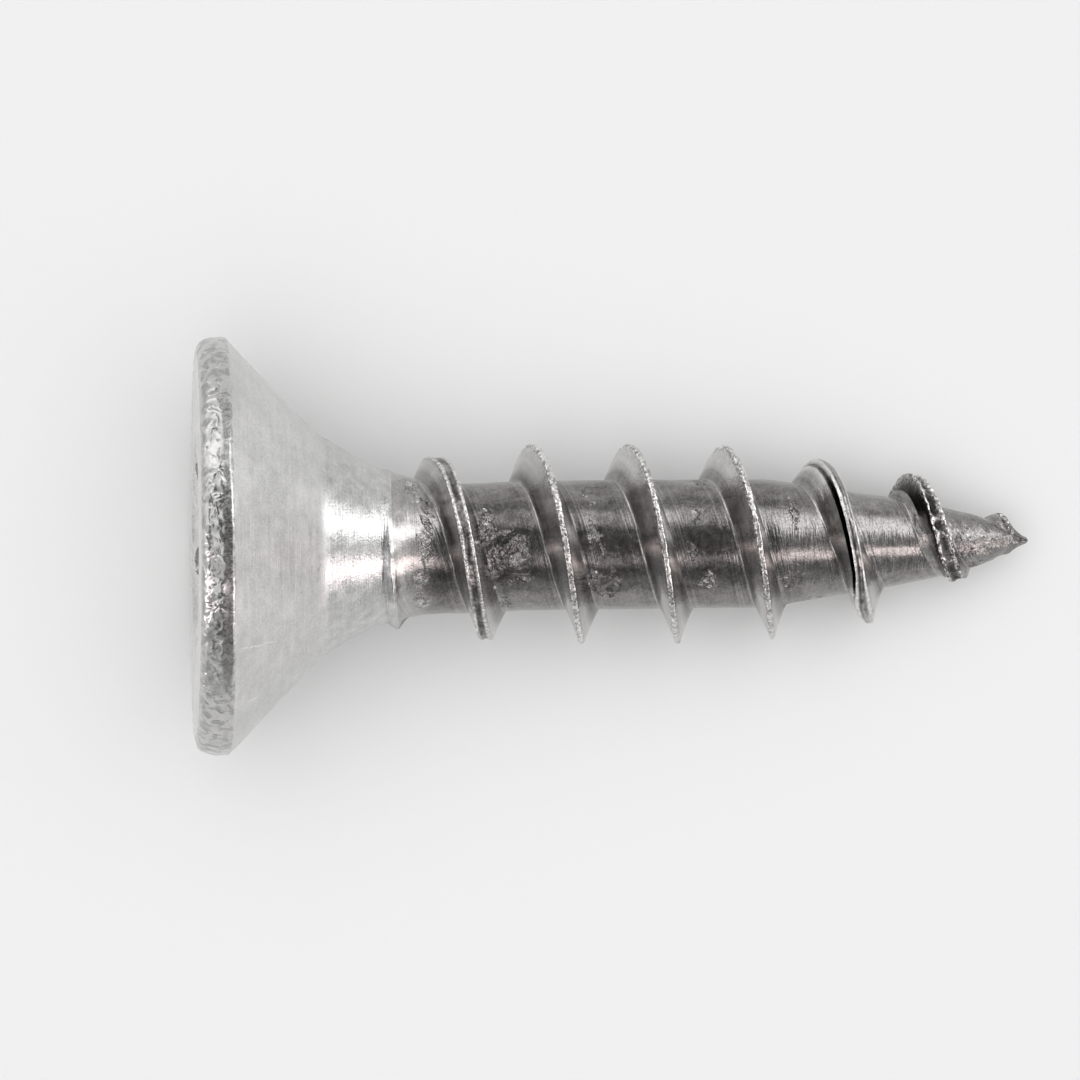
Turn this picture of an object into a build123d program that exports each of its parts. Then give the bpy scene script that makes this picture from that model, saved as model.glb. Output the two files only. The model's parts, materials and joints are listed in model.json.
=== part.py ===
"""Countersunk chipboard screw: coarse right-hand thread, six-lobe recess, 16 mm long.

The screw is modelled along +X with its head's face at X = 0, then laid down as it comes to rest
on a flat surface: on the rim of its head and one crest of its thread. In the finished frame
Z = 0 is that surface, +X runs from the head to the point and the origin is under the middle.
All lengths are in millimetres and all angles in degrees.
"""

import math
import os

from build123d import *

# Overall
LENGTH = 16.0  # from the head's face to the point

# Head
HEAD_DIAMETER = 7.93
RIM_HEIGHT = 0.61  # band round the head, above the countersunk seat
FACE_EDGE_RADIUS = 0.34  # rolled-over edge between the face and the rim
RIM_CORNER_RADIUS = 0.05  # edge between the rim and the seat
SEAT_ANGLE = 92.0  # included angle of the countersunk seat

# Neck: a steeper cone under the seat, then a fine ridge left by the thread-rolling dies
NECK_TOP_DIAMETER = 4.24
NECK_ANGLE = 55.0  # included angle
NECK_TOP_FILLET = 0.9
NECK_END_DIAMETER = 2.92
RIDGE_WIDTH = 0.24
RIDGE_HEIGHT = 0.05
NECK_RUNOUT = 0.55  # length over which the neck sinks to the core
NECK_RUNOUT_FILLET = 0.9

# Core and point
CORE_DIAMETER = 2.46
TAPER_LENGTH = 4.8  # from the start of the taper to the point
TIP_LENGTH = 1.0  # the steeper last stretch of that taper
TIP_DIAMETER = 0.98  # core diameter where the last stretch starts
POINT_DIAMETER = 0.12

# Thread
THREAD_DIAMETER = 3.84
PITCH = 1.815
CREST_WIDTH = 0.10
FLANK_ANGLE = 46.0  # included angle between the flanks
THREAD_START = 0.05  # crest's first station, before the neck's end
RUN_IN = 2.75  # length over which the crest rises to its full height
RUN_OUT = 1.7  # length over which the crest sinks towards the point
RUN_OUT_END = 1.25  # from the end of the run-out to the point
TIP_THREAD_HEIGHT = 0.2  # crest height over the core beyond the run-out
THREAD_END = 0.38  # from the thread's last station to the point
FADE = 0.35  # length over which the thread's last end sinks into the core
TOP_CREST = 6.43  # station at which the crest points along +Y
ROOT_SHARE = 0.85  # radius of the thread's hidden root, as a share of the core's
STEPS_PER_TURN = 18
STEPS_PER_FACE = 9  # each flank is made of faces half a turn long

# Six-lobe recess, size 20
RECESS_OUTER = 3.95  # across opposite lobes
RECESS_INNER = 2.85  # across opposite valleys
LOBE_RADIUS = 0.30
LOBES = 6
RECESS_TURN = 21.0  # of the first lobe, from +Y towards +Z
RECESS_DEPTH = 1.45  # to where the lobes meet the conical floor
RECESS_LEAD_IN = 0.08  # how far the mouth's lead-in reaches beyond the lobes
RECESS_LEAD_IN_ANGLE = 130.0  # included angle
RECESS_FLOOR_ANGLE = 140.0  # included angle
RECESS_FLOOR_FLAT = 0.4  # flat in the middle of the floor


def half_slope(included_angle):
    """Radius gained for each millimetre along a cone of that included angle."""
    return math.tan(math.radians(included_angle / 2))


# Stations along the axis, from the head's face
SEAT_END = RIM_HEIGHT + (HEAD_DIAMETER - NECK_TOP_DIAMETER) / 2 / half_slope(SEAT_ANGLE)
NECK_END = SEAT_END + (NECK_TOP_DIAMETER - NECK_END_DIAMETER) / 2 / half_slope(NECK_ANGLE)
RIDGE_END = NECK_END + RIDGE_WIDTH
CORE_START = RIDGE_END + NECK_RUNOUT
TAPER_START = LENGTH - TAPER_LENGTH
TIP_START = LENGTH - TIP_LENGTH
FIRST_STATION = NECK_END - THREAD_START
LAST_STATION = LENGTH - THREAD_END


def core_radius(x):
    """Radius of the core at station x, on the cylinder and on both tapers."""
    if x <= TAPER_START:
        return CORE_DIAMETER / 2
    if x <= TIP_START:
        share = (x - TAPER_START) / (TIP_START - TAPER_START)
        return (CORE_DIAMETER + share * (TIP_DIAMETER - CORE_DIAMETER)) / 2
    share = (x - TIP_START) / TIP_LENGTH
    return (TIP_DIAMETER + share * (POINT_DIAMETER - TIP_DIAMETER)) / 2


def crest_radius(x):
    """Radius of the thread's crest at station x."""
    full_height = (THREAD_DIAMETER - CORE_DIAMETER) / 2
    if x < FIRST_STATION + RUN_IN:
        start_radius = NECK_END_DIAMETER / 2 - RIDGE_HEIGHT
        rise = math.sin(math.pi / 2 * (x - FIRST_STATION) / RUN_IN)
        return start_radius + rise * (THREAD_DIAMETER / 2 - start_radius)
    sunk = (x - (LENGTH - RUN_OUT_END - RUN_OUT)) / RUN_OUT
    sunk = (1 - math.cos(math.pi * min(max(sunk, 0), 1))) / 2
    height = full_height + sunk * (TIP_THREAD_HEIGHT - full_height)
    left = min(max((LAST_STATION - x) / FADE, 0), 1)
    return core_radius(x) + height * math.sin(math.pi / 2 * left) - (1 - left) * POINT_DIAMETER / 4


def turn_angle(x):
    """Angle round the axis, from +Y towards +Z, at which the crest stands at station x."""
    return 2 * math.pi * (x - TOP_CREST) / PITCH


def thread_stations():
    """Evenly spaced stations of the crest, from its first to its last."""
    turns = (LAST_STATION - FIRST_STATION) / PITCH
    count = math.ceil(turns * STEPS_PER_TURN / STEPS_PER_FACE) * STEPS_PER_FACE
    step = (LAST_STATION - FIRST_STATION) / count
    return [FIRST_STATION + i * step for i in range(count + 1)]


def thread_corners(x):
    """The four corners of the thread's section at station x, crest first, then root."""
    angle = turn_angle(x)
    crest = crest_radius(x)
    root = core_radius(x) * ROOT_SHARE
    root_half = CREST_WIDTH / 2 + (crest - root) * half_slope(FLANK_ANGLE)
    corners = [(-CREST_WIDTH / 2, crest), (CREST_WIDTH / 2, crest), (root_half, root), (-root_half, root)]
    return [Vector(x + dx, r * math.cos(angle), r * math.sin(angle)) for dx, r in corners]


def thread():
    """The thread as one ridge: ruled faces between four helical edges, closed by two flat ends."""
    sections = [thread_corners(x) for x in thread_stations()]
    steps = [i / (len(sections) - 1) for i in range(len(sections))]
    helices = [Edge.make_spline([section[i] for section in sections], parameters=steps) for i in range(4)]
    faces = []
    for start in range(0, len(sections) - 1, STEPS_PER_FACE):
        first, last = sections[start], sections[start + STEPS_PER_FACE]
        edges = [helices[i].trim(first[i], last[i]) for i in range(4)]
        faces += [Face.make_surface_from_curves(edges[i], edges[(i + 1) % 4]) for i in range(4)]
    ends = [Face(Wire.make_polygon(section, close=True)) for section in (sections[0], sections[-1])]
    return Solid(Shell(faces + ends))


def body():
    """Head, neck, core and point, turned from one outline."""
    head_radius = HEAD_DIAMETER / 2
    outline = [
        (0, 0),
        (0, head_radius),
        (RIM_HEIGHT, head_radius),
        (SEAT_END, NECK_TOP_DIAMETER / 2),
        (NECK_END, NECK_END_DIAMETER / 2),
        (RIDGE_END - RIDGE_HEIGHT, NECK_END_DIAMETER / 2 + RIDGE_HEIGHT),
        (RIDGE_END, NECK_END_DIAMETER / 2 - RIDGE_HEIGHT),
        (CORE_START, CORE_DIAMETER / 2),
        (TAPER_START, CORE_DIAMETER / 2),
        (TIP_START, TIP_DIAMETER / 2),
        (LENGTH, POINT_DIAMETER / 2),
        (LENGTH, 0),
    ]
    section = make_face(Polyline(*outline, close=True))
    for corner, radius in (
        ((0, head_radius), FACE_EDGE_RADIUS),
        ((RIM_HEIGHT, head_radius), RIM_CORNER_RADIUS),
        ((SEAT_END, NECK_TOP_DIAMETER / 2), NECK_TOP_FILLET),
        ((CORE_START, CORE_DIAMETER / 2), NECK_RUNOUT_FILLET),
    ):
        section = fillet(section.vertices().sort_by_distance(corner)[0], radius)
    return revolve(section, Axis.X)


def recess_outline():
    """Six-lobe outline: round lobes joined by tangent arcs that bulge inwards."""
    lobe_centre = RECESS_OUTER / 2 - LOBE_RADIUS
    half_step = math.pi / LOBES
    inner = RECESS_INNER / 2
    # The valley's arc meets the lobe's where the line between their centres crosses both.
    along = lobe_centre * math.cos(half_step)
    valley_radius = (inner**2 + lobe_centre**2 - 2 * inner * along - LOBE_RADIUS**2) / (
        2 * (LOBE_RADIUS + along - inner)
    )
    valley_centre = inner + valley_radius
    joins = []
    for i in range(LOBES):
        for side in (-1, 1):
            lobe = Vector(lobe_centre, 0).rotate(Axis.Z, math.degrees(2 * half_step * i))
            valley = Vector(valley_centre, 0).rotate(Axis.Z, math.degrees(2 * half_step * i + side * half_step))
            joins.append(lobe + (valley - lobe).normalized() * LOBE_RADIUS)
    edges = []
    for i in range(LOBES):
        start, end = joins[2 * i], joins[2 * i + 1]
        top = Vector(RECESS_OUTER / 2, 0).rotate(Axis.Z, math.degrees(2 * half_step * i))
        valley = Vector(inner, 0).rotate(Axis.Z, math.degrees(2 * half_step * i + half_step))
        edges.append(Edge.make_three_point_arc(start, top, end))
        edges.append(Edge.make_three_point_arc(end, valley, joins[(2 * i + 2) % (2 * LOBES)]))
    return Face(Wire(edges))


def cone_into_head(start_radius, end_radius, included_angle):
    """A truncated cone that starts at the head's face and narrows inwards along +X."""
    depth = (start_radius - end_radius) / half_slope(included_angle)
    middle = Plane(origin=(depth / 2, 0, 0), x_dir=(0, 1, 0), z_dir=(1, 0, 0))
    return middle * Cone(start_radius, end_radius, depth)


def recess():
    """What the drive recess takes out of the head: a lobed socket with a conical end and a lead-in."""
    face = Plane(origin=(0, 0, 0), x_dir=(0, 1, 0), z_dir=(1, 0, 0))
    radius_at_face = RECESS_OUTER / 2 + RECESS_DEPTH * half_slope(RECESS_FLOOR_ANGLE)
    punch = cone_into_head(radius_at_face, RECESS_FLOOR_FLAT / 2, RECESS_FLOOR_ANGLE)
    outline = face * Rot(0, 0, RECESS_TURN) * recess_outline()
    socket = extrude(outline, amount=LENGTH, dir=(1, 0, 0)) & punch
    lead_in = cone_into_head(RECESS_OUTER / 2 + RECESS_LEAD_IN, RECESS_FLOOR_FLAT / 2, RECESS_LEAD_IN_ANGLE)
    return socket + lead_in


def resting_tilt():
    """How far the point drops below level before a crest meets the surface that the rim stands on."""
    rim_radius = HEAD_DIAMETER / 2
    slopes = []
    for x in thread_stations():
        reach = -crest_radius(x) * math.sin(turn_angle(x))
        slopes.append((rim_radius - reach) / (x - RIM_HEIGHT))
    return math.degrees(math.atan(min(slopes)))


def lie_down(screw):
    """Tilts the screw about Y to its rest and sets it on Z = 0, with the origin under its middle."""
    tilted = Rot(0, resting_tilt(), 0) * screw
    box = tilted.bounding_box()
    return Pos(-box.center().X, -box.center().Y, -box.min.Z) * tilted


def main():
    screw = body() + thread() - recess()
    os.makedirs("parts", exist_ok=True)
    export_step(lie_down(screw), "parts/screw.step")


main()
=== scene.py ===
"""Chipboard screw in bare stainless steel, lying at rest on a pale floor.

The screw is modelled in millimetres along +X, its head's face at X = 0, and laid into the CAD
frame at the end. Angles round the screw run from +Y towards +Z, which is the upper side.
"""

import json
import math

import bpy
from mathutils import Matrix, Vector, noise


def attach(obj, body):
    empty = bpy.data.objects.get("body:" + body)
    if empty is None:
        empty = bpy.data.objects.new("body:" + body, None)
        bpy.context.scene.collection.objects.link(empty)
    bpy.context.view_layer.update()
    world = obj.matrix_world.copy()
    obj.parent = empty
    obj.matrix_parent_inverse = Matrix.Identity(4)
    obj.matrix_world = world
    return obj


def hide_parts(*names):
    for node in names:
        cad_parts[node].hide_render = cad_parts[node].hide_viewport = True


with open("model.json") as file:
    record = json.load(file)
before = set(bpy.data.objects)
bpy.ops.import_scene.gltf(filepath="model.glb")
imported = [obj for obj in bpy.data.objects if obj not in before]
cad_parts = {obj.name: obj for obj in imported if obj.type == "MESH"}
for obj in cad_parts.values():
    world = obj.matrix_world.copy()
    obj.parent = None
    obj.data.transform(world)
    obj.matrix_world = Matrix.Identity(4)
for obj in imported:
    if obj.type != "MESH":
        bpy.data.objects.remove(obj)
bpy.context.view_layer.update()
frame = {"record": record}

# ---------------------------------------------------------------- sizes, in millimetres

STEPS = 224  # divisions round the screw

FACE_RADIUS = 3.62
HEAD_RADIUS = 3.965
RIM_CORNER = 0.61  # station of the rim's corner to the seat
# The edge that rolls over to the face: station and depth below the rim
ROLLED_EDGE = [
    (0.00, 0.345), (0.003, 0.290), (0.012, 0.235), (0.027, 0.185), (0.048, 0.145), (0.075, 0.112),
    (0.105, 0.086), (0.14, 0.065), (0.18, 0.047), (0.23, 0.032), (0.28, 0.020), (0.33, 0.010),
    (0.37, 0.004), (0.41, 0.000),
]
THREAD_JOIN = 3.95  # where the turned head meets the thread's grid
TIP_CUT = 15.94  # the point is worn blunt from here on

PITCH = 1.815
TOP_CREST = 6.43  # a station at which the crest points along +Y
HALF_PITCH = PITCH / 2

LOBE_OUTER = 1.975
LOBE_INNER = 1.425
LOBE_ROUND = 0.30
RECESS_TURN = math.radians(21)  # of the first lobe, from +Y towards +Z
MOUTH_RADIUS = 2.055
LEAD_IN_SLOPE = math.tan(math.radians(65))
FLOOR_SLOPE = math.tan(math.radians(70))
RECESS_DEPTH = 1.45
FLOOR_FLAT = 0.2

# Radius of the neck, the core and the point, by station
BODY = [
    (2.30, 2.150), (2.36, 2.100), (2.69, 1.915), (2.99, 1.735), (3.30, 1.580), (3.50, 1.490),
    (3.65, 1.442), (3.80, 1.402), (3.95, 1.363), (4.08, 1.330), (4.24, 1.292), (4.39, 1.264),
    (4.60, 1.243), (4.90, 1.232), (10.70, 1.228), (11.00, 1.215), (11.39, 1.155), (12.00, 1.055),
    (12.58, 0.962), (13.28, 0.862), (13.90, 0.745), (14.39, 0.640), (14.97, 0.500), (15.30, 0.370),
    (15.65, 0.205), (15.75, 0.145), (15.94, 0.065), (17.00, 0.040),
]

# Height of the ridge under the neck, which the rolling dies left, by distance from its top
RING = [
    (-0.16, 0.00), (-0.02, 0.95), (0.00, 1.00), (0.02, 0.92), (0.06, 0.64), (0.11, 0.30),
    (0.16, 0.08), (0.20, 0.00),
]
RING_PLACE = 3.87

SHIFT_START, SHIFT_END = 2.95, 4.75  # the neck's rows shift with the ridge between these
SHIFT_RUN = 0.65  # length over which that shift comes and goes

THREAD_TOP = 3.55  # the thread rises out of the neck from here
THREAD_START = 4.25  # it has its full form from here on
THREAD_END = 15.20  # and loses it again from here on
THREAD_RUN = 0.45  # length over which that form comes and goes
FLANK_BREADTH = 0.355  # of one flank, for each millimetre of the thread's height
BEAD_START, BEAD_END = 11.7, 12.8  # the fifth turn's crest is rolled over into a bead here
FLAP_PLACE = 12.64  # the bead ends in a widened flap here
WIDE_FOOT_PLACE = 12.77  # the foot on the point's side is broadest here
SIXTH_TURN = 13.0  # the sixth turn's crest begins here
SKIN_RADIUS = 1.6  # radius at which the thread's uneven skin is read

# Radius of the thread's crest, by the station at which the crest stands
CREST = [
    (3.40, 1.300), (3.62, 1.420), (3.86, 1.500), (4.25, 1.630), (4.60, 1.765), (5.00, 1.775),
    (5.53, 1.785), (6.05, 1.890), (6.41, 1.935), (7.40, 1.885), (8.27, 1.915), (9.25, 1.895),
    (10.11, 1.870), (11.08, 1.835), (11.50, 1.760), (11.87, 1.620), (12.40, 1.610), (12.93, 1.575),
    (13.67, 1.350), (14.15, 1.020), (14.69, 0.735), (15.20, 0.560), (15.50, 0.530), (15.62, 0.300),
    (15.80, 0.080),
]

# Half the width of the crest's flat, worn wider on the first turn and on the last ones
CREST_WIDTH = [
    (3.60, 0.060), (4.30, 0.120), (4.60, 0.130), (5.60, 0.110), (6.10, 0.060), (7.30, 0.042),
    (8.30, 0.045), (9.25, 0.040), (10.11, 0.045), (11.10, 0.040), (11.60, 0.065), (11.95, 0.092),
    (12.46, 0.092), (12.58, 0.145), (12.67, 0.140), (12.77, 0.045), (12.90, 0.035), (13.10, 0.045),
    (13.40, 0.090), (13.75, 0.110), (14.05, 0.150), (14.50, 0.150), (14.85, 0.100), (15.60, 0.080),
]

# How far the crest leans towards the point, by the same station
CREST_LEAN = [
    (5.60, 0.000), (7.40, 0.025), (8.27, 0.050), (9.25, 0.055), (10.11, 0.065), (11.08, 0.070),
    (11.87, 0.100), (12.40, 0.110), (12.60, 0.060), (12.80, 0.150), (13.20, 0.130), (13.67, 0.140),
    (14.20, 0.090), (14.60, 0.100), (15.00, 0.000),
]

# Depth of the hollow that the rolling left along the middle of the crest
CREST_HOLLOW = [
    (4.20, 0.000), (4.50, 0.050), (5.60, 0.055), (6.00, 0.000), (11.80, 0.000), (12.00, 0.020),
    (12.70, 0.020), (12.90, 0.000), (13.40, 0.020), (13.75, 0.110), (13.98, 0.120), (14.10, 0.090),
    (14.50, 0.090), (14.80, 0.030), (15.00, 0.000),
]

# The crest is folded over on its head side on two stretches: how deep the fold is, and its form down
# the flank, first along the crest's edge and then halfway down
FOLD_DEPTH = [
    (11.74, 0.00), (11.84, 0.05), (12.02, 0.08), (12.14, 0.16), (12.28, 0.26), (12.46, 0.26),
    (12.58, 0.00), (13.30, 0.00), (13.45, 0.26), (13.56, 0.34), (13.88, 0.34), (13.98, 0.16),
    (14.10, 0.05), (14.60, 0.05), (14.70, 0.00),
]
FOLD_AT_CREST = [(0.00, 0.00), (0.10, 1.00), (0.22, -0.16), (0.38, 0.05), (0.56, 0.00)]
FOLD_HALFWAY = [
    (0.00, 0.00), (0.10, 0.90), (0.22, 1.00), (0.38, 0.70), (0.56, 0.10), (0.74, 0.00),
]

# Extra breadth at the foot of the head side's flank
HEAD_SIDE_FOOT = [
    (4.10, -0.060), (4.75, -0.060), (5.20, 0.000), (11.20, 0.000), (11.80, 0.060), (12.05, 0.040),
    (12.33, -0.040), (12.60, -0.130), (12.80, -0.110), (13.00, 0.000), (13.30, -0.060),
    (13.75, -0.090), (14.00, 0.040), (14.20, 0.090), (14.90, 0.000),
]

# How ragged the crest is
CREST_WEAR = [
    (3.60, 0.006), (4.60, 0.007), (5.60, 0.008), (6.20, 0.014), (7.00, 0.014), (9.80, 0.014),
    (10.00, 0.020), (10.30, 0.014), (11.50, 0.014), (11.80, 0.012), (12.60, 0.009), (12.80, 0.018),
    (13.20, 0.014), (13.45, 0.022), (13.85, 0.026), (14.20, 0.014), (14.70, 0.012), (15.60, 0.020),
]

# Sideways run of the screw, which is not quite straight: the head sits high and the neck low
RUN_OUT = [
    (0.00, 0.055), (0.62, 0.055), (0.75, 0.045), (3.30, 0.018), (4.00, 0.000), (4.60, -0.035),
    (5.20, -0.040), (6.20, 0.000), (7.00, 0.005), (9.50, 0.000), (16.00, 0.000),
]

# Torn and smeared places on the core: station, degrees round, half-length, half-width in degrees,
# and strength
TORN_PLACES = [
    (4.28, 75, 0.14, 30, 0.9), (4.25, 128, 0.13, 32, 0.9), (4.02, 30, 0.22, 16, 0.8),
    (5.46, 72, 0.20, 22, 0.9), (5.95, 98, 0.32, 18, 1.0), (5.62, 104, 0.22, 20, 1.0),
    (6.05, 118, 0.22, 10, 0.9), (5.88, 152, 0.16, 9, 1.0), (5.30, 40, 0.20, 12, 0.5),
    (7.42, 32, 0.20, 9, 0.8), (7.66, 28, 0.16, 8, 0.8), (7.48, 76, 0.10, 24, 0.7),
    (7.60, 96, 0.14, 12, 0.7), (7.78, 131, 0.22, 14, 1.0), (7.50, 124, 0.12, 12, 0.8),
    (9.62, 14, 0.16, 12, 0.9), (9.44, 64, 0.10, 12, 0.8), (9.66, 124, 0.16, 10, 0.9),
    (9.30, 100, 0.14, 14, 0.5), (11.15, 172, 0.30, 9, 1.0), (11.70, 168, 0.28, 8, 1.0),
    (11.30, 60, 0.16, 16, 0.6), (11.35, 128, 0.30, 14, 0.5), (14.25, 20, 0.16, 14, 0.4),
    (15.00, 150, 0.20, 18, 0.6), (15.75, 60, 0.16, 60, 0.9), (5.60, 238, 0.28, 24, 1.0),
    (6.00, 310, 0.20, 20, 0.8), (7.55, 262, 0.26, 22, 0.9), (9.50, 222, 0.22, 18, 0.9),
    (9.40, 318, 0.24, 14, 0.8), (11.30, 284, 0.26, 20, 0.8), (4.25, 220, 0.15, 34, 0.9),
    (4.25, 300, 0.15, 30, 0.8), (13.20, 250, 0.22, 26, 0.7),
]


def along(table, x):
    """Value at station x of a table of (station, value), read straight between its entries."""
    if x <= table[0][0]:
        return table[0][1]
    for (xa, a), (xb, b) in zip(table, table[1:]):
        if x <= xb:
            return a + (b - a) * (x - xa) / (xb - xa)
    return table[-1][1]


def ease(t):
    """Goes smoothly from 0 to 1 while t does."""
    t = min(max(t, 0.0), 1.0)
    return t * t * (3 - 2 * t)


# ---------------------------------------------------------------- modelling helpers


def draw_section(name, stations):
    """A chain of edges in the XY plane through the given (station, radius) points."""
    bpy.ops.object.select_all(action="DESELECT")
    bpy.ops.mesh.primitive_plane_add(size=1, location=(0, 0, 0))
    obj = bpy.context.object
    obj.name = name
    bpy.ops.object.mode_set(mode="EDIT")
    bpy.ops.mesh.select_all(action="SELECT")
    bpy.ops.mesh.merge(type="CENTER")
    bpy.ops.transform.translate(value=(stations[0][0], stations[0][1], 0))
    for (xa, ra), (xb, rb) in zip(stations, stations[1:]):
        bpy.ops.mesh.extrude_vertices_move(TRANSFORM_OT_translate={"value": (xb - xa, rb - ra, 0)})
    bpy.ops.object.mode_set(mode="OBJECT")
    return obj


def turn(obj, turns, advance):
    """Sweeps the section round the X axis, moving it along by the advance at each turn."""
    bpy.ops.object.modifier_add(type="SCREW")
    screw = obj.modifiers[-1]
    screw.axis = "X"
    screw.angle = math.tau
    screw.screw_offset = advance
    screw.iterations = turns
    screw.steps = screw.render_steps = STEPS
    screw.use_merge_vertices = True
    screw.merge_threshold = 1e-4
    bpy.ops.object.modifier_apply(modifier=screw.name)


def cut_off(station, keep_tip_side):
    """Cuts the mesh square across the screw's axis and drops one side."""
    bpy.ops.object.mode_set(mode="EDIT")
    bpy.ops.mesh.select_all(action="SELECT")
    bpy.ops.mesh.bisect(
        plane_co=(station, 0, 0),
        plane_no=(1, 0, 0),
        clear_inner=keep_tip_side,
        clear_outer=not keep_tip_side,
        threshold=1e-5,
    )
    bpy.ops.object.mode_set(mode="OBJECT")


# ---------------------------------------------------------------- head and neck, turned


def steps_between(start, end, count):
    """Evenly spaced points after the start, up to and with the end."""
    (xa, ra), (xb, rb) = start, end
    return [(xa + (xb - xa) * i / count, ra + (rb - ra) * i / count) for i in range(1, count + 1)]


floor_depth = RECESS_DEPTH + (LOBE_OUTER - FLOOR_FLAT) / FLOOR_SLOPE
mouth_depth = (MOUTH_RADIUS - LOBE_OUTER) / LEAD_IN_SLOPE
head_stations = [(floor_depth, 0.0), (floor_depth, FLOOR_FLAT)]
head_stations += steps_between(head_stations[-1], (RECESS_DEPTH, LOBE_OUTER), 5)
head_stations += steps_between(head_stations[-1], (mouth_depth, LOBE_OUTER), 7)
head_stations += steps_between(head_stations[-1], (0, MOUTH_RADIUS), 2)
head_stations += steps_between(head_stations[-1], (0, FACE_RADIUS), 6)
head_stations += [(x, HEAD_RADIUS - depth) for x, depth in ROLLED_EDGE[1:]]
head_stations += steps_between(head_stations[-1], (0.565, HEAD_RADIUS), 4)
head_stations += [(0.585, 3.961), (0.603, 3.951), (0.622, 3.934)]
head_stations += steps_between(head_stations[-1], (0.70, 3.856), 2)
head_stations += steps_between(head_stations[-1], (2.24, 2.226), 14)
head_stations += [(2.30, 2.170), (2.36, 2.124), (2.42, 2.085), (2.49, 2.046)]
on_neck = (2.61, 2.73, 2.86, 2.99, 3.12, 3.25, 3.38, 3.50, 3.60, 3.66)
on_ring = (3.71, 3.75, 3.785, 3.81, 3.83, 3.845, 3.857, 3.87, 3.882, 3.895, 3.91, 3.93)
head_stations += [(x, along(BODY, x)) for x in on_neck + on_ring]

head = draw_section("head_blank", head_stations)
turn(head, 1, 0)

# ---------------------------------------------------------------- threaded shank

# One pitch of the thread, centred on its crest: distance from the crest's middle
CREST_HALF, ROOT_HALF = 0.05, 0.34
crest_rows = [CREST_HALF * t for t in (0, 0.17, 0.34, 0.51, 0.68, 0.84, 1.0)]
flank_breadth = ROOT_HALF - CREST_HALF
flank_rows = [CREST_HALF + flank_breadth * t for t in (0.10, 0.22, 0.38, 0.56, 0.74, 0.90, 1.0)]
core_rows = [0.352, 0.366, 0.382, 0.41, 0.46, 0.53, 0.60, 0.67, 0.75, 0.83, HALF_PITCH]
rows = crest_rows + flank_rows + core_rows
rows = [-s for s in reversed(rows[1:])] + rows
FIRST_TURN = TOP_CREST - 2 * PITCH
BLANK_RADIUS = 1.3
shank = draw_section("shank_blank", [(FIRST_TURN + s, BLANK_RADIUS) for s in rows])
turn(shank, 9, PITCH)
cut_off(THREAD_JOIN, keep_tip_side=True)
cut_off(TIP_CUT, keep_tip_side=False)

# Close the point with three short, narrowing steps
bpy.ops.object.mode_set(mode="EDIT")
bpy.ops.mesh.select_mode(type="VERT")
bpy.ops.object.mode_set(mode="OBJECT")
for v in shank.data.vertices:
    v.select = v.co.x > TIP_CUT - 1e-4
bpy.ops.object.mode_set(mode="EDIT")
bpy.ops.mesh.extrude_region_move(TRANSFORM_OT_translate={"value": (0.03, 0, 0)})
bpy.ops.transform.resize(value=(1, 0.8, 0.8))
bpy.ops.mesh.extrude_region_move(TRANSFORM_OT_translate={"value": (0.02, 0, 0)})
bpy.ops.transform.resize(value=(1, 0.6, 0.6))
bpy.ops.mesh.extrude_region_move(TRANSFORM_OT_translate={"value": (0.01, 0, 0)})
bpy.ops.mesh.merge(type="CENTER")
bpy.ops.object.mode_set(mode="OBJECT")

# ---------------------------------------------------------------- join them

finishes = SEAT, RIM, FACE, THREAD = (
    "turned_seat_and_neck",
    "hammered_rim",
    "struck_face_and_recess",
    "rolled_thread_steel",
)
for blank in (head, shank):
    for name in finishes:
        blank.data.materials.append(bpy.data.materials.get(name) or bpy.data.materials.new(name))
for face in shank.data.polygons:
    face.material_index = finishes.index(THREAD)
for face in head.data.polygons:
    x, radius = face.center.x, math.hypot(face.center.y, face.center.z)
    in_recess = radius < MOUTH_RADIUS + 0.005 and x < floor_depth + 0.01
    if in_recess or (radius < FACE_RADIUS - 0.02 and x < 0.005):
        face.material_index = finishes.index(FACE)
    elif x < RIM_CORNER + 0.005:
        face.material_index = finishes.index(RIM)

bpy.ops.object.select_all(action="DESELECT")
head.select_set(True)
shank.select_set(True)
bpy.context.view_layer.objects.active = head
bpy.ops.object.join()
screw = head
screw.name = "chipboard_screw"
bpy.ops.object.mode_set(mode="EDIT")
bpy.ops.mesh.select_all(action="SELECT")
bpy.ops.mesh.remove_doubles(threshold=1e-4)
bpy.ops.mesh.select_all(action="DESELECT")
bpy.ops.mesh.select_mode(type="EDGE")
bpy.ops.mesh.select_non_manifold()
bpy.ops.mesh.bridge_edge_loops()
bpy.ops.mesh.select_all(action="SELECT")
bpy.ops.mesh.normals_make_consistent(inside=False)
bpy.ops.object.mode_set(mode="OBJECT")

# ---------------------------------------------------------------- six-lobe recess


def lobe_radius(angle):
    """Distance from the axis to the recess's wall in that direction."""
    centre = LOBE_OUTER - LOBE_ROUND
    step = math.pi / 6
    towards_valley = centre * math.cos(step)
    valley_round = LOBE_INNER**2 + centre**2 - 2 * LOBE_INNER * towards_valley - LOBE_ROUND**2
    valley_round /= 2 * (LOBE_ROUND + towards_valley - LOBE_INNER)
    valley = LOBE_INNER + valley_round
    a = abs((angle + step) % (2 * step) - step)
    # Where the lobe's arc meets the valley's arc
    dx, dy = valley * math.cos(step) - centre, valley * math.sin(step)
    reach = LOBE_ROUND / math.hypot(dx, dy)
    join = math.atan2(dy * reach, centre + dx * reach)
    if a < join:
        return centre * math.cos(a) + math.sqrt(max(LOBE_ROUND**2 - (centre * math.sin(a)) ** 2, 0))
    b = step - a
    return valley * math.cos(b) - math.sqrt(max(valley_round**2 - (valley * math.sin(b)) ** 2, 0))


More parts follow.
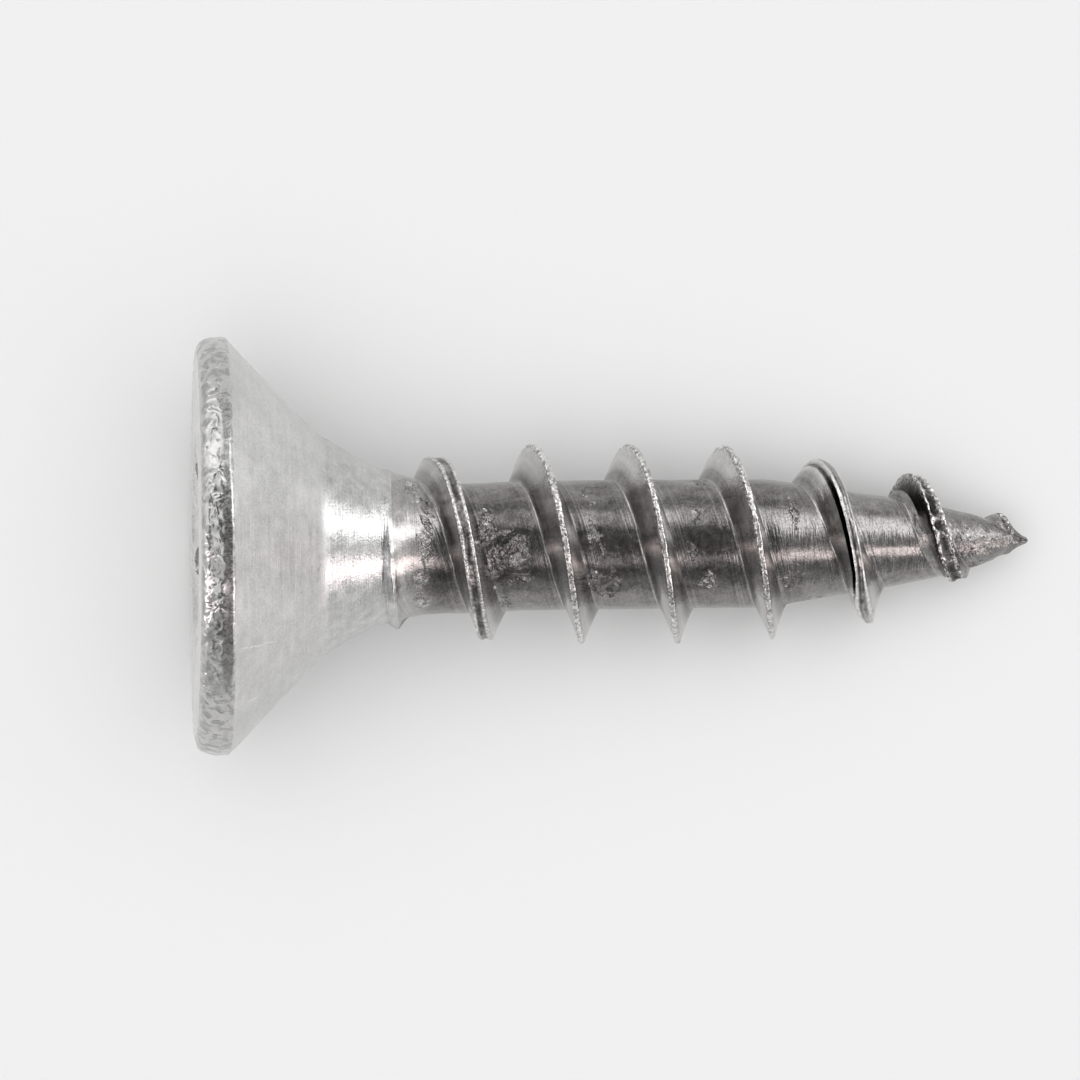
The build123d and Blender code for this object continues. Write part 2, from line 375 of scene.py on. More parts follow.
def press_recess(x, r, angle):
    """Moves a point of the plain round socket onto the lobed one."""
    wall = lobe_radius(angle - RECESS_TURN)
    top = (MOUTH_RADIUS - wall) / LEAD_IN_SLOPE
    bottom = RECESS_DEPTH + (LOBE_OUTER - wall) / FLOOR_SLOPE
    if r > LOBE_OUTER + 1e-5:
        r = MOUTH_RADIUS + (wall - MOUTH_RADIUS) * (MOUTH_RADIUS - r) / (MOUTH_RADIUS - LOBE_OUTER)
        return (MOUTH_RADIUS - r) / LEAD_IN_SLOPE, r
    if x < RECESS_DEPTH + 1e-5:
        return top + (bottom - top) * (x - mouth_depth) / (RECESS_DEPTH - mouth_depth), wall
    if r >= FLOOR_FLAT + 1e-5:
        r = FLOOR_FLAT + (wall - FLOOR_FLAT) * (r - FLOOR_FLAT) / (LOBE_OUTER - FLOOR_FLAT)
    return min(RECESS_DEPTH + (LOBE_OUTER - r) / FLOOR_SLOPE, floor_depth), r


# ---------------------------------------------------------------- thread


def torn(x, angle):
    """How badly the core is torn at that place, from 0 to 1."""
    degrees = math.degrees(angle)
    worst = 0.0
    for station, bearing, length, width, strength in TORN_PLACES:
        dx = (x - station) / length
        da = ((degrees - bearing + 180) % 360 - 180) / width
        if abs(dx) < 2 and abs(da) < 2:
            worst = max(worst, strength * math.exp(-dx * dx - da * da))
    return worst


def spread_rows(s, crest_x, crest_half, root_half):
    """Distance from the crest for a row of the plain thread, fitted to the crest and flanks there."""
    # Before the thread starts and after it ends, the rows keep their places
    plain = max(
        ease((THREAD_START - crest_x) / THREAD_RUN),
        ease((crest_x - THREAD_END) / THREAD_RUN),
    )
    crest_half += (CREST_HALF - crest_half) * plain
    root_half += (ROOT_HALF - root_half) * plain
    a = abs(s)
    if a <= CREST_HALF:
        a *= crest_half / CREST_HALF
    elif a <= ROOT_HALF:
        a = crest_half + (root_half - crest_half) * (a - CREST_HALF) / (ROOT_HALF - CREST_HALF)
    else:
        a = root_half + (HALF_PITCH - root_half) * (a - ROOT_HALF) / (HALF_PITCH - ROOT_HALF)
    return a, crest_half, root_half


def rolled_thread(x, angle):
    """Station and radius of the thread's surface for a point of the plain shank, and its marks."""
    turns = round((x - TOP_CREST) / PITCH - angle / math.tau)
    crest_x = TOP_CREST + (turns + angle / math.tau) * PITCH
    s = x - crest_x
    head_side = s < 0
    height = max(along(CREST, crest_x) - along(BODY, crest_x), 0.0)
    crest_half = along(CREST_WIDTH, crest_x)
    root_half = max(crest_half, 0.045) + 0.02 + height * FLANK_BREADTH
    if head_side:
        root_half += along(HEAD_SIDE_FOOT, crest_x)
    else:
        root_half += 0.07 * ease(1 - abs(crest_x - WIDE_FOOT_PLACE) / 0.30)
    a, crest_half, root_half = spread_rows(s, crest_x, crest_half, root_half)
    from_crest = math.copysign(a, s)
    # The rows next to the head stay where they are
    station = x if x < THREAD_JOIN + 0.03 else crest_x + from_crest
    shift, ring = neck_ring(x, angle)
    station += shift
    place = Vector((station, SKIN_RADIUS * math.cos(angle), SKIN_RADIUS * math.sin(angle)))

    wear = along(CREST_WEAR, crest_x)
    ragged = wear * (noise.noise(place * 5) + noise.noise(place * 11))
    rounding = 0.024 + (0.85 if BEAD_START < crest_x < BEAD_END else 0.22) * max(crest_half - 0.05, 0)
    fold = along(FOLD_DEPTH, crest_x)
    flap = ease(1 - abs(crest_x - FLAP_PLACE) / 0.16)
    crest_mark = foot_mark = fold_and_hollow_shade = push = 0.0
    if a <= crest_half:
        across = math.copysign(a / crest_half, s)
        ridge = height - rounding * across**2 + ragged
        hollow = along(CREST_HOLLOW, crest_x) * (0.8 + 0.8 * noise.noise(place * 3.5))
        ridge -= hollow * max(1 - 1.6 * across * across, 0)
        ridge += 0.06 * flap * noise.noise(place * 6)
        # Strongest at the crest's edges, where highlights are painted into the steel's colour
        crest_mark = 0.30 + 0.70 * across**2
        # The crest's hollow is marked for shade painted into the steel's colour
        fold_and_hollow_shade = min(hollow / 0.1, 1) * max(1 - 2.2 * across * across, 0)
    else:
        t = min((a - crest_half) / (root_half - crest_half), 1.0)
        steep = 1.18 - (0.42 * flap if head_side else 0.0)
        ridge = (height - rounding + ragged * max(1 - 4 * t, 0)) * (1 - t) ** steep
        ridge += 0.06 * flap * noise.noise(place * 6) * min(4 * (1 - t), 1)
        crest_mark = max(1 - 8 * t, 0)
        if head_side and fold > 0:
            form = along(FOLD_HALFWAY if crest_x > SIXTH_TURN else FOLD_AT_CREST, t)
            ridge -= 0.75 * fold * form
            push = 0.11 * min(fold / 0.2, 1) * max(form, 0)
            # The fold's undercut is marked for shade painted into the steel's colour
            fold_and_hollow_shade = min(fold / 0.15, 1) * max(form, 0)
    if height > 0.02:
        lean = along(CREST_LEAN, crest_x) + 0.5 * wear * noise.noise(place * 4 + Vector((5, 0, 0)))
        share = min(max(ridge, 0) / height, 1.0)
        # Along the lower side the thread's foot sits a little nearer the point
        low_side = 0.05 * ease(-math.cos(angle)) * (1 - share) * ease((root_half + 0.24 - a) / 0.22)
        station += lean * share**1.5 + push + low_side
        # The rolling die's edge leaves a fine raised line at the foot of each flank, which the steel's
        # colour also lightens as a painted highlight
        foot = (a - root_half - 0.012) / 0.014
        foot_mark = math.exp(-foot * foot) * min(height / 0.3, 1)
        # On the head side the raised line and its painted highlight are strongest about a radian round
        # from +Y towards +Z; on the point's side both stay faint
        foot_mark *= 0.62 + 0.38 * math.cos(angle - 1.0) if head_side else 0.3
        ridge = max(ridge, 0) + (0.010 + 0.006 * noise.noise(place * 3)) * foot_mark
    # Close to the point the rows gather where they were
    station += (x - station) * ease((x - TIP_CUT + 0.35) / 0.30)

    # The core between the threads is drawn unevenly, chipped at the point and torn in places
    round_core = Vector((station * 1.1, 2 * math.cos(angle), 2 * math.sin(angle)))
    core = 0.006 * noise.noise(round_core * 1.3) + 0.0035 * noise.noise(place * 4)
    chips = noise.noise(Vector((2.2 * station, 0.5 * math.cos(angle), 0.5 * math.sin(angle))) * 2.4)
    core += 0.06 * chips * ease((x - 15.2) / 0.4) * (1 - 0.8 * ease((x - 15.6) / 0.25))
    tear = torn(station, angle) * max(1 - ridge / 0.1, 0)
    core += tear * (0.008 * noise.noise(place * 2.5) + 0.004 * noise.noise(place * 6) - 0.005)
    flank = min(max(ridge, 0.0) / 0.55, 1.0) if height > 0.05 else 0.0
    by_thread = ease((0.75 - a) / 0.25)
    values = (crest_mark, foot_mark, fold_and_hollow_shade, tear, flank, from_crest, by_thread)
    return station, along(BODY, station) + ring + core + max(ridge, 0.0), values


def neck_ring(x, angle):
    """Shift along the screw and height of the ridge under the neck, which runs askew round it."""
    # The rows of the neck shift with it, and those farther off stay
    reach = ease((x - SHIFT_START) / SHIFT_RUN) * ease((SHIFT_END - x) / SHIFT_RUN)
    skew = -0.105 - 0.06 * math.cos(angle) - 0.145 * math.sin(angle)
    height = 0.030 + 0.140 * ease(0.30 - 0.70 * math.cos(angle))
    place = Vector((x, 1.5 * math.cos(angle), 1.5 * math.sin(angle)))
    away = x - RING_PLACE
    if away > 0:
        # Its side towards the point is gentler along the front and the back
        away *= 1 - 0.5 * ease(1 - 1.3 * abs(math.cos(angle)))
    return skew * reach, height * along(RING, away) * (1 + 0.25 * noise.noise(place * 5))


def face_set(x, r, angle):
    """The face was struck a little out of square, so the rim is thicker along one side."""
    return (0.012 + 0.0105 * r * math.cos(angle)) * max(1 - max(x, 0) / 0.6, 0 if r > 2.06 else 1)


def hammered(place):
    """Height of the hammered surface of the rim."""
    return 0.55 * noise.noise(place * 3.1) + 0.75 * noise.noise(place * 6.5 + Vector((3, 1, 4)))


def hammer_rim(x, r, place):
    """The rim is hammered all over, most where it rolls over to the face, and its corner is nicked."""
    depth = 0.022 * ease((r - 3.4) / 0.4) * ease((0.68 - x) / 0.12) * hammered(place)
    depth *= 1 - 0.6 * ease((x - 0.34) / 0.12)
    r += depth
    x -= 0.6 * depth * ease((0.4 - x) / 0.3)
    corner = ease(1 - abs(x - RIM_CORNER) / 0.05)
    r += 0.014 * corner * (noise.noise(place * 4) + noise.noise(place * 8) - 0.2)
    x += 0.016 * corner * (noise.noise(place * 2.5 + Vector((9, 9, 0))) + noise.noise(place * 7))
    return x, r


MARKS = ("crest", "foot", "fold", "torn", "flank", "from_crest", "by_thread")
marks = [[0.0] * len(screw.data.vertices) for name in MARKS]
for i, v in enumerate(screw.data.vertices):
    x, r = v.co.x, math.hypot(v.co.y, v.co.z)
    angle = math.atan2(v.co.z, v.co.y) % math.tau
    place = v.co.copy()
    if x > THREAD_TOP:
        share = r / BLANK_RADIUS if x > TIP_CUT + 1e-4 else 1.0
        new_x, new_r, values = rolled_thread(min(x, TIP_CUT), angle)
        x, r = (new_x if x <= TIP_CUT + 1e-4 else x), new_r * share
        for mark, value in zip(marks, values):
            mark[i] = value
    elif r < MOUTH_RADIUS - 1e-4 and x < floor_depth + 1e-4:
        x, r = press_recess(x, r, angle)
        x += face_set(0, r, angle)
    else:
        x, r = hammer_rim(x, r, place)
        x += face_set(x, r, angle)
        if x > SHIFT_START:
            shift, ridge = neck_ring(x, angle)
            x, r = x + shift, along(BODY, x + shift) + ridge
    v.co = (x, r * math.cos(angle) + along(RUN_OUT, x), r * math.sin(angle))
for name, mark in zip(MARKS, marks):
    screw.data.attributes.new(name, "FLOAT", "POINT").data.foreach_set("value", mark)

bpy.ops.object.shade_smooth_by_angle(angle=math.radians(50))

# ---------------------------------------------------------------- lay it into the CAD frame

recess_mount = next(m for m in frame["record"]["mounts"] if m["name"] == "drive_recess")
head_centre = Vector(recess_mount["pos_m"])
screw_axis = -Vector(recess_mount["axis"]).normalized()
side = Vector((0, 1, 0))
up = screw_axis.cross(side)
lie = Matrix((screw_axis, side, up)).transposed().to_4x4()
bpy.ops.object.select_all(action="DESELECT")
screw.select_set(True)
bpy.context.view_layer.objects.active = screw
screw.matrix_world = Matrix.Translation(head_centre) @ lie @ Matrix.Scale(0.001, 4)
bpy.ops.object.transform_apply(location=True, rotation=True, scale=True)

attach(screw, "root")
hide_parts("screw")

# ---------------------------------------------------------------- shader helpers


class Nodes:
    """Adds nodes to a tree in the order they are worked out."""

    def __init__(self, tree):
        self.tree = tree

    def add(self, kind, **inputs):
        node = self.tree.nodes.new("ShaderNode" + kind)
        for name, value in inputs.items():
            self.put(node, name.replace("_", " "), value)
        return node

    def put(self, node, key, value):
        if isinstance(value, bpy.types.NodeSocket):
            self.tree.links.new(value, node.inputs[key])
        else:
            node.inputs[key].default_value = value

    def math(self, operation, *values):
        node = self.tree.nodes.new("ShaderNodeMath")
        node.operation = operation
        for i, value in enumerate(values):
            self.put(node, i, value)
        return node.outputs[0]

    def ramp(self, value, low, high, start=0.0, end=1.0):
        """Eases from start to end while the value goes from low to high."""
        node = self.tree.nodes.new("ShaderNodeMapRange")
        node.interpolation_type = "SMOOTHSTEP"
        for i, v in enumerate((value, low, high, start, end)):
            self.put(node, i, v)
        return node.outputs[0]

    def dot(self, vector, direction):
        node = self.tree.nodes.new("ShaderNodeVectorMath")
        node.operation = "DOT_PRODUCT"
        self.put(node, 0, vector)
        self.put(node, 1, direction)
        return node.outputs["Value"]

    def noise(self, vector, scale, detail=2.0, roughness=0.5, distortion=0.0):
        node = self.add("TexNoise", Vector=vector, Scale=scale, Detail=detail, Roughness=roughness)
        self.put(node, "Distortion", distortion)
        return node.outputs[0]

    def flakes(self, vector, scale, warp):
        """A random level for each flake, the distance to its edge, and its face, tilted at random."""
        bent = self.tree.nodes.new("ShaderNodeVectorMath")
        bent.operation = "MULTIPLY_ADD"
        self.put(bent, 0, self.add("TexNoise", Vector=vector, Scale=scale, Detail=3.0).outputs[1])
        self.put(bent, 1, (warp, warp, warp))
        self.put(bent, 2, vector)
        cells = self.add("TexVoronoi", Vector=bent.outputs[0], Scale=scale)
        edges = self.add("TexVoronoi", Vector=bent.outputs[0], Scale=scale)
        edges.feature = "DISTANCE_TO_EDGE"
        from_middle = self.tree.nodes.new("ShaderNodeVectorMath")
        from_middle.operation = "SUBTRACT"
        self.put(from_middle, 0, bent.outputs[0])
        self.put(from_middle, 1, cells.outputs["Position"])
        lean = self.tree.nodes.new("ShaderNodeVectorMath")
        lean.operation = "SUBTRACT"
        self.put(lean, 0, cells.outputs["Color"])
        self.put(lean, 1, (0.5, 0.5, 0.5))
        tilted = self.dot(from_middle.outputs[0], lean.outputs[0])
        level = self.add("SeparateColor", Color=cells.outputs["Color"]).outputs[0]
        return level, edges.outputs["Distance"], tilted

    def mark(self, name):
        node = self.tree.nodes.new("ShaderNodeAttribute")
        node.attribute_name = name
        return node.outputs["Fac"]

    def times(self, *values):
        product = values[0]
        for value in values[1:]:
            product = self.math("MULTIPLY", product, value)
        return product

    def plus(self, *values):
        total = values[0]
        for value in values[1:]:
            total = self.math("ADD", total, value)
        return total

    def blend(self, share, start, end):
        """A colour between start and end."""
        node = self.tree.nodes.new("ShaderNodeMix")
        node.data_type = "RGBA"
        self.put(node, 0, share)
        self.put(node, 6, start)
        self.put(node, 7, end)
        return node.outputs[2]

    def blend_value(self, share, start, end):
        """A number between start and end."""
        node = self.tree.nodes.new("ShaderNodeMix")
        self.put(node, 0, share)
        self.put(node, 2, start)
        self.put(node, 3, end)
        return node.outputs[0]

    def bump(self, height):
        """Relief of the given height in millimetres."""
        return self.add("Bump", Height=height, Distance=0.001, Strength=1.0).outputs[0]


class Steel(Nodes):
    """A steel finish, with the place on the screw in millimetres from the head along its axis."""

    def __init__(self, name):
        material = bpy.data.materials[name]
        material.use_nodes = True
        super().__init__(material.node_tree)
        self.shader = self.tree.nodes["Principled BSDF"]
        self.shader.inputs["Metallic"].default_value = 1.0
        stand_up = lie.to_3x3().transposed()
        on_screw = self.add(
            "Mapping",
            Vector=self.add("TexCoord").outputs["Object"],
            Location=-1000 * (stand_up @ head_centre),
            Rotation=stand_up.to_euler(),
            Scale=(1000, 1000, 1000),
        )
        self.place = on_screw.outputs[0]
        parts = self.add("SeparateXYZ", Vector=self.place)
        self.x, self.y, self.z = parts.outputs
        squares = self.plus(self.times(self.y, self.y), self.times(self.z, self.z), 1e-4)
        self.r = self.math("SQRT", squares)

    def rings(self, along_scale, round_scale, detail=2.0, roughness=0.5):
        """Noise drawn out into fine lines round the screw."""
        line = self.add(
            "CombineXYZ",
            X=self.times(self.x, along_scale),
            Y=self.times(self.math("DIVIDE", self.y, self.r), round_scale),
            Z=self.times(self.math("DIVIDE", self.z, self.r), round_scale),
        )
        return self.noise(line.outputs[0], 1.0, detail, roughness)

    def finish(self, colour, roughness, normal):
        self.put(self.shader, "Base Color", colour)
        self.put(self.shader, "Roughness", roughness)
        self.put(self.shader, "Normal", normal)


# ---------------------------------------------------------------- steel finishes


def scratch(n, start, end):
    """A fine scratch on the upper side, from one place to another, each a station and a height."""
    slope = (end[1] - start[1]) / (end[0] - start[0])
    wander = n.times(n.noise(n.place, 2.5, 2), 0.10)
    rise = slope * start[0] - start[1] - 0.05
    off = n.math("ABSOLUTE", n.plus(n.y, n.times(n.x, -slope), wander, rise))
    line = n.times(n.ramp(off, 0.004, 0.018, 1.0, 0.0), n.ramp(n.z, 0.0, 0.1))
    begins = n.ramp(n.x, start[0] - 0.02, start[0] + 0.05)
    fades = n.ramp(n.x, end[0] - 0.25, end[0], 1.0, 0.0)
    broken = n.ramp(n.noise(n.place, 9, 2), 0.38, 0.52, 0.25, 1.0)
    return n.times(line, n.times(begins, fades), broken)


def turned_seat_and_neck():
    """Satin seat with fine turning lines, and a brighter, rolled neck."""
    n = Steel(SEAT)
    neck = n.ramp(n.x, 2.34, 2.52)
    cloud = n.noise(n.place, 1.1, 4, 0.55)
    stain = n.noise(n.place, 4.5, 4, 0.6)
    grit = n.noise(n.place, 22, 3, 0.6)
    fine = n.rings(38, 2.5, 3, 0.6)
    broad = n.rings(9, 1.6, 3, 0.6)
    scratches = n.plus(
        scratch(n, (0.71, -1.85), (1.50, -1.71)),
        scratch(n, (0.86, -2.87), (1.26, -2.66)),
    )
    shade = n.plus(
        n.ramp(cloud, 0.30, 0.70, -0.06, 0.06),
        n.times(n.ramp(stain, 0.30, 0.72, -0.05, 0.045), n.ramp(neck, 0, 1, 1.0, 2.2)),
        n.ramp(grit, 0.28, 0.72, -0.09, 0.09),
        n.ramp(fine, 0.30, 0.70, -0.04, 0.04),
        n.ramp(broad, 0.30, 0.70, -0.03, 0.03),
        n.times(neck, -0.10),
        n.times(scratches, 0.25),
        0.49,
    )
    colour = n.blend(shade, (0.30, 0.30, 0.30, 1), (0.90, 0.895, 0.885, 1))
    roughness = n.plus(
        n.ramp(neck, 0, 1, 0.33, 0.17),
        n.ramp(stain, 0.3, 0.7, -0.04, 0.08),
        n.ramp(fine, 0.3, 0.7, -0.04, 0.04),
    )
    relief = n.plus(
        n.times(fine, n.ramp(neck, 0, 1, 0.0035, 0.0080)),
        n.times(broad, n.ramp(neck, 0, 1, 0.006, 0.009)),
        n.times(grit, n.ramp(neck, 0, 1, 0.002, 0.005)),
        n.times(stain, n.ramp(neck, 0, 1, 0.003, 0.005)),
    )
    n.finish(colour, roughness, n.bump(relief))


def hammered_rim():
    """Coarse, hammered rim that glitters."""
    n = Steel(RIM)
    coarse = n.noise(n.place, 2.4, 1, 0.5, 0.6)
    dents = n.noise(n.place, 5.0, 1, 0.4, 0.9)
    grain = n.noise(n.place, 20, 3, 0.6)
    shade = n.plus(n.ramp(dents, 0.36, 0.60), n.ramp(grain, 0.3, 0.7, -0.2, 0.2))
    colour = n.blend(shade, (0.36, 0.36, 0.355, 1), (0.555, 0.55, 0.545, 1))
    roughness = n.plus(n.ramp(n.x, 0.36, 0.46, 0.15, 0.22), n.ramp(grain, 0.35, 0.75, 0.0, 0.14))
    # The rim's flat is calmer than the edge that rolls over to the face
    calm = n.ramp(n.x, 0.34, 0.46, 1.0, 0.25)
    beaten = n.plus(n.times(n.plus(coarse, -0.5), 0.060), n.times(n.plus(dents, -0.5), 0.038))
    relief = n.plus(n.times(beaten, calm), n.times(grain, 0.0018))
    n.finish(colour, roughness, n.bump(relief))


def struck_face_and_recess():
    """Cold-struck face, smooth but mottled, and the recess pressed into it."""
    n = Steel(FACE)
    cloud = n.noise(n.place, 1.4, 4, 0.6)
    dimples = n.noise(n.place, 7, 3, 0.6, 0.5)
    grain = n.noise(n.place, 24, 3, 0.6)
    # Deeper into the recess the colour is painted darker, as shade, and the steel rougher
    inside = n.ramp(n.x, 0.05, 0.35)
    shade = n.plus(
        0.62,
        n.ramp(cloud, 0.3, 0.7, -0.12, 0.10),
        n.ramp(grain, 0.3, 0.7, -0.07, 0.07),
        n.times(inside, -0.22),
    )
    colour = n.blend(shade, (0.30, 0.295, 0.29, 1), (0.90, 0.895, 0.885, 1))
    roughness = n.plus(0.28, n.ramp(dimples, 0.3, 0.7, -0.05, 0.08), n.times(inside, 0.08))
    relief = n.plus(n.times(cloud, 0.03), n.times(dimples, 0.022), n.times(grain, 0.004))
    n.finish(colour, roughness, n.bump(relief))


def rolled_thread_steel():
    """Rolled thread: dull, dark core with torn places, flanks painted lighter up from the roots, and
    broken crests with painted glints.
    """
    n = Steel(THREAD)
    crest, foot, fold, tears, flank, from_crest, by_thread = (n.mark(name) for name in MARKS)
    cloud = n.noise(n.place, 1.6, 4, 0.6)
    stain = n.noise(n.place, 6.5, 4, 0.65, 0.4)
    grit = n.noise(n.place, 24, 3, 0.65)
    fine = n.rings(30, 2.2, 3, 0.6)
    broad = n.rings(10, 1.4, 2, 0.5)
    down_flank = n.add(
        "CombineXYZ",
        X=n.times(from_crest, 22.0),
        Y=n.times(n.x, 0.9),
        Z=n.times(n.y, 0.5),
    )
    drawn = n.noise(down_flank.outputs[0], 1.0, 3, 0.6)
    facets = n.noise(n.place, 15, 2, 0.5, 0.6)
    islands = n.noise(n.place, 3.2, 3, 0.6, 0.6)
    flake, edge, flake_face = n.flakes(n.place, 5.0, 0.30)
    chip, _, chip_face = n.flakes(n.place, 13, 0.10)
    torn_skin = n.ramp(n.plus(tears, n.ramp(islands, 0.35, 0.65, -0.45, 0.25)), 0.30, 0.55)
    crack = n.times(
        n.ramp(edge, 0.0, 0.055, 1.0, 0.0),
        n.ramp(flake, 0.46, 0.56),
        n.ramp(tears, 0.22, 0.50),
        n.ramp(n.x, 4.3, 4.6, 0.4, 1.0),
    )
    glint = n.times(torn_skin, n.ramp(chip, 0.86, 0.90), n.ramp(islands, 0.50, 0.60))

    # Darker down towards the roots and lighter up the flanks: partly a duller drawn core, partly
    # painted shade between the threads
    up_the_flank = n.ramp(flank, 0.15, 0.75)
    tip = n.ramp(n.x, 10.8, 13.0)
    # Crests are broken, but the fifth turn's bead is smooth, and so is the first turn's flat; there the
    # crest's middle is painted darker, so its edges show as two painted bright lines
    on_bead = n.times(n.ramp(n.x, 11.55, 11.85), n.ramp(n.x, 12.70, 12.95, -0.75, 0.0))
    broken = n.plus(1.0, on_bead, n.ramp(n.x, 5.55, 6.0, -0.45, 0.0))
    by_neck = n.ramp(n.plus(n.x, n.ramp(stain, 0.3, 0.7, -0.12, 0.12)), 4.20, 4.50, 1.0, 0.0)
    shade = n.plus(
        0.10,
        n.times(tip, 0.05),
        n.times(by_neck, n.ramp(n.x, 3.95, 4.25, 0.21, 0.16)),
        n.times(up_the_flank, 0.47),
        # painted highlight along the raised line at each flank's foot
        n.times(foot, 0.30),
        # Painted glints and dark bits on the crests, strongest at the crest's edges as painted
        # highlights
        n.times(crest, n.plus(n.times(n.ramp(facets, 0.43, 0.57, -0.62, 0.40), broken), 0.08)),
        n.times(
            n.ramp(broken, 0.3, 0.8, -0.42, 0.0),
            n.ramp(crest, 0.28, 0.34),
            n.ramp(crest, 0.62, 0.42),
        ),
        n.times(by_thread, n.ramp(drawn, 0.35, 0.65, -0.06, 0.06)),
        n.ramp(cloud, 0.3, 0.7, -0.045, 0.045),
        n.ramp(stain, 0.3, 0.7, -0.05, 0.06),
        n.ramp(grit, 0.28, 0.72, -0.06, 0.06),
        n.ramp(fine, 0.3, 0.7, -0.02, 0.02),
        n.times(torn_skin, n.ramp(flake, 0.30, 0.85, -0.10, 0.17)),
        n.times(glint, 0.45),
        # Painted shade in the cracks, the folds and the crest's hollows
        n.times(crack, -0.6),
        n.times(fold, -0.75),
    )
    colour = n.blend(n.math("MAXIMUM", shade, 0.0), (0.13, 0.123, 0.119, 1), (0.92, 0.905, 0.89, 1))
    # Cracks, folds and crest hollows are painted near black, as shade in these crevices
    painted_crevice_shade = n.math("MAXIMUM", n.times(fold, 0.85), n.times(crack, 0.8))
    colour = n.blend(painted_crevice_shade, colour, (0.02, 0.018, 0.017, 1))
    roughness = n.plus(
        n.ramp(n.x, 9.5, 11.0, 0.20, 0.17),
        n.ramp(n.x, 13.4, 14.2, 0.0, -0.09),
        n.times(up_the_flank, -0.08),
        n.ramp(stain, 0.3, 0.7, -0.02, 0.06),
        n.times(fold, 0.3),
        n.times(crest, -0.05),
    )
    # The lines round the core are deeper on the taper and at the point
    fine_depth = n.plus(
        n.ramp(n.x, 9.5, 11.0, 0.0005, 0.0050),
        n.ramp(n.x, 13.3, 14.3, 0.0, 0.0060),
        n.times(by_neck, 0.003),
    )
    broad_depth = n.plus(
        n.ramp(n.x, 9.5, 11.0, 0.0012, 0.0060),
        n.ramp(n.x, 13.3, 14.3, 0.0, 0.0070),
        n.times(by_neck, 0.004),
    )
    relief = n.plus(
        n.times(fine, fine_depth),
        n.times(broad, broad_depth),
        n.times(grit, 0.0016),
        n.times(stain, n.ramp(n.x, 13.3, 14.3, 0.004, 0.014)),
        n.times(torn_skin, n.plus(n.times(flake_face, 0.42), n.times(n.plus(islands, -0.5), 0.024))),
        n.times(chip_face, n.plus(n.times(torn_skin, 0.12), n.ramp(n.x, 13.6, 14.6, 0.0, 0.32))),
        n.times(crack, -0.015),
        n.times(by_thread, drawn, 0.006),
        n.times(crest, n.plus(n.times(facets, n.times(broken, 0.040)), n.times(grit, 0.008))),
    )
    n.finish(colour, roughness, n.bump(relief))


for finish in (turned_seat_and_neck, hammered_rim, struck_face_and_recess, rolled_thread_steel):
    finish()

# ---------------------------------------------------------------- camera

TILT_AWAY = math.radians(5.2)  # how far the point leans away from the camera
ROLL = math.radians(0.6)
DISTANCE = 0.109
FRAME_WIDTH = 0.020610687  # what the frame spans at that distance
AIM_ALONG = 0.00658  # the point aimed at: how far along the screw, and how far aside
AIM_ASIDE = 0.000105

lean = math.atan2(-screw_axis.z, screw_axis.x) - TILT_AWAY
back = Vector((math.sin(lean), 0, math.cos(lean)))
right = Vector((math.cos(lean), 0, -math.sin(lean)))
cam_right = right * math.cos(ROLL) - side * math.sin(ROLL)
cam_up = right * math.sin(ROLL) + side * math.cos(ROLL)
target = head_centre + screw_axis * AIM_ALONG + side * AIM_ASIDE
camera_data = bpy.data.cameras.new("camera")
camera_data.lens = camera_data.sensor_width * DISTANCE / FRAME_WIDTH
camera_data.clip_start, camera_data.clip_end = 0.01, 2
camera = bpy.data.objects.new("camera", camera_data)
facing = Matrix((cam_right, cam_up, back)).transposed().to_4x4()
camera.matrix_world = Matrix.Translation(target + back * DISTANCE) @ facing
bpy.context.scene.collection.objects.link(camera)
bpy.context.scene.camera = camera
bpy.context.scene.view_settings.view_transform = "Standard"

# ---------------------------------------------------------------- studio

bpy.ops.mesh.primitive_plane_add(size=1.2, location=(0, 0, 0))
floor = bpy.context.object
floor.name = "floor"
pale = bpy.data.materials.new("pale_floor")
pale.use_nodes = True
paint = pale.node_tree.nodes["Principled BSDF"]
paint.inputs["Base Color"].default_value = (0.88, 0.88, 0.88, 1)
paint.inputs["Roughness"].default_value = 0.9
floor.data.materials.append(pale)

world = bpy.data.worlds.new("studio")
bpy.context.scene.world = world
world.use_nodes = True
world.cycles.sampling_method = "NONE"
n = Nodes(world.node_tree)
direction = n.add("TexCoord").outputs["Generated"]
to_point = n.dot(direction, right)
to_side = n.dot(direction, side)
overhead = n.dot(direction, back)

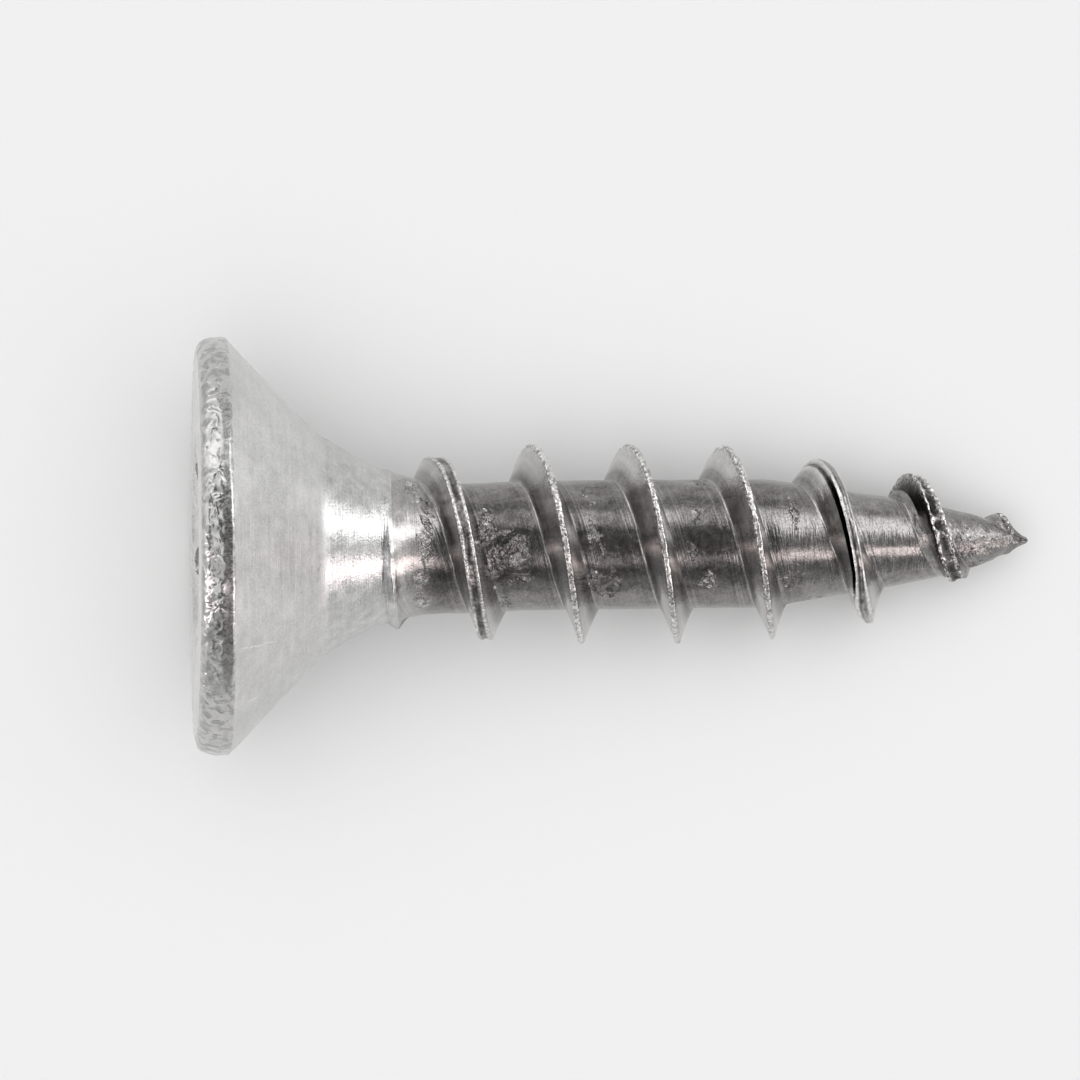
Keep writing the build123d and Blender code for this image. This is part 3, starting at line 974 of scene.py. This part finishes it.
# What the steel mirrors: a dark ceiling round the camera, dim walls at both sides, and bright walls
# beyond the point and the head, the last one darker in its middle
dark = n.plus(n.ramp(to_side, 0.45, 0.95, 0.13, 0.46), n.ramp(to_side, -0.75, -1.0, 0.0, 0.36))
beyond_point = n.ramp(to_point, 0.22, 0.84, 0.0, 0.80)
middle_of_wall = n.times(
    n.ramp(n.math("ABSOLUTE", to_side), 0.30, 0.60, 1.0, 0.0),
    n.ramp(to_point, -0.82, -0.72),
)
beyond_head = n.times(
    n.ramp(to_point, -0.03, -0.20),
    n.math(
        "SUBTRACT",
        n.ramp(to_side, -0.90, -0.20, 0.36, 1.04),
        n.times(middle_of_wall, n.ramp(to_point, -0.46, -0.56, 0.0, 0.98)),
    ),
)
surround = n.plus(dark, beyond_point, beyond_head)


def strip_light(middle, half_width, level):
    """A long softbox overhead, along the screw."""
    off = n.math("ABSOLUTE", n.math("SUBTRACT", to_side, middle))
    edge = n.ramp(off, half_width * 0.5, half_width * 1.3, 1.0, 0.0)
    return n.times(edge, level, n.ramp(overhead, -0.05, 0.2))


upper_strip = strip_light(
    n.ramp(to_point, 0.30, 0.72, 0.74, 0.34),
    0.165,
    n.ramp(to_point, 0.10, 0.36, 0.30, 2.70),
)
lower_strip = strip_light(
    n.ramp(to_point, 0.18, 0.42, -0.50, -0.36),
    0.125,
    n.ramp(to_point, 0.10, 0.48, 0.10, 3.00),
)
lower_strip = n.plus(lower_strip, strip_light(-0.32, 0.09, n.ramp(to_point, -0.50, -0.60, 0.0, 4.2)))
reflected = n.plus(surround, upper_strip, lower_strip)
rays = n.add("LightPath")
BACKDROP = 0.89  # what the camera sees where there is no floor
# The floor is lit mostly from above, so that its shadow stays close to the screw
dome = n.plus(0.14, n.times(n.math("POWER", n.math("MAXIMUM", overhead, 0.0), 4.0), 2.56))
lighting = n.blend_value(rays.outputs["Is Glossy Ray"], dome, reflected)
level = n.blend_value(rays.outputs["Is Camera Ray"], lighting, BACKDROP)
background = world.node_tree.nodes["Background"]
n.put(background, "Strength", level)
# The lower strip is a little warmer than the rest
warmth = n.times(rays.outputs["Is Glossy Ray"], n.math("MINIMUM", lower_strip, 1.0))
n.put(background, "Color", n.blend(warmth, (1, 1, 1, 1), (1.0, 0.90, 0.89, 1)))
